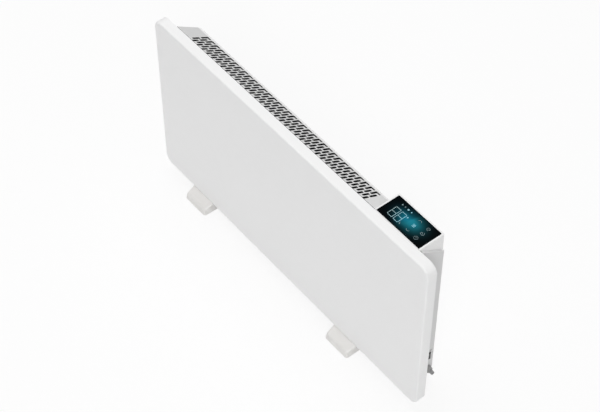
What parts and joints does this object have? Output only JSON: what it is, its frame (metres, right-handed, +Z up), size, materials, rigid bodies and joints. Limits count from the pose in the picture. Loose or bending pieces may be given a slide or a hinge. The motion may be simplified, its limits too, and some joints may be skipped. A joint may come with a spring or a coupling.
{
  "type": "wall panel convector heater",
  "caption": "Flat white panel convector heater on short feet, with a slotted sloped top, a touch control box, a rear case and a rocker mains switch.",
  "frame": {"origin": "on the floor under the middle of the heater: half way along the panel and half way along the feet", "axes": "+X along the panel towards the control box, the front face looks towards -Y, +Z up"},
  "size_m": [0.86, 0.14, 0.464],
  "materials": {
    "panel_enamel": "smooth white powder coat",
    "case_enamel": "fine white powder coat",
    "white_plastic": "fine satin moulding",
    "black_glass": "black printed touch glass",
    "circuit_board": "green solder mask",
    "ribbon": "grey ribbon",
    "zinc_steel": "zinc-coated sheet",
    "fin_aluminium": "extruded, uncoated",
    "sheath_steel": "annealed sheath",
    "ceramic": "unglazed ceramic",
    "black_plastic": "fine satin",
    "switch_plastic": "light grey satin moulding",
    "grey_plastic": "satin nylon",
    "foot_plastic": "soft white moulding",
    "rubber": "moulded rubber",
    "screw_steel": "zinc-plated",
    "brass": "plain",
    "lead_insulation": "glass-fibre sleeve"
  },
  "bodies": {
    "heater": {"front_panel": "panel_enamel", "rear_case": "case_enamel", "left_end_plate": "case_enamel", "right_end_plate": "case_enamel", "control_box": "white_plastic", "touch_glass": "black_glass", "display_board": "circuit_board", "display_ribbon": "ribbon", "partition_wall": "zinc_steel", "lead_grommet": "rubber", "power_board": "circuit_board", "board_standoffs": "screw_steel", "terminal_block": "ceramic", "earth_stud": "brass", "heating_element": "fin_aluminium", "element_rod": "sheath_steel", "element_insulators": "ceramic", "left_element_bracket": "zinc_steel", "right_element_bracket": "zinc_steel", "heat_shield": "zinc_steel", "thermal_cutout": "black_plastic", "thermal_fuse": "zinc_steel", "room_sensor": "black_plastic", "tilt_switch": "black_plastic", "switch_body": "switch_plastic", "cord_gland": "grey_plastic", "gland_nut": "grey_plastic", "left_foot": "foot_plastic", "right_foot": "foot_plastic", "foot_pads": "rubber", "foot_screws": "screw_steel", "case_screws": "screw_steel", "box_screws": "screw_steel", "element_leads": "lead_insulation", "mains_leads": "lead_insulation"},
    "rocker": {"switch_rocker": "black_plastic"}
  },
  "joints": [
    {"name": "rocker_tilt", "type": "hinge", "parent": "heater", "child": "rocker", "pos_m": [0.381, 0.021, 0.09], "axis": [0, -1, 0], "range_deg": [0, 14]}
  ]
}
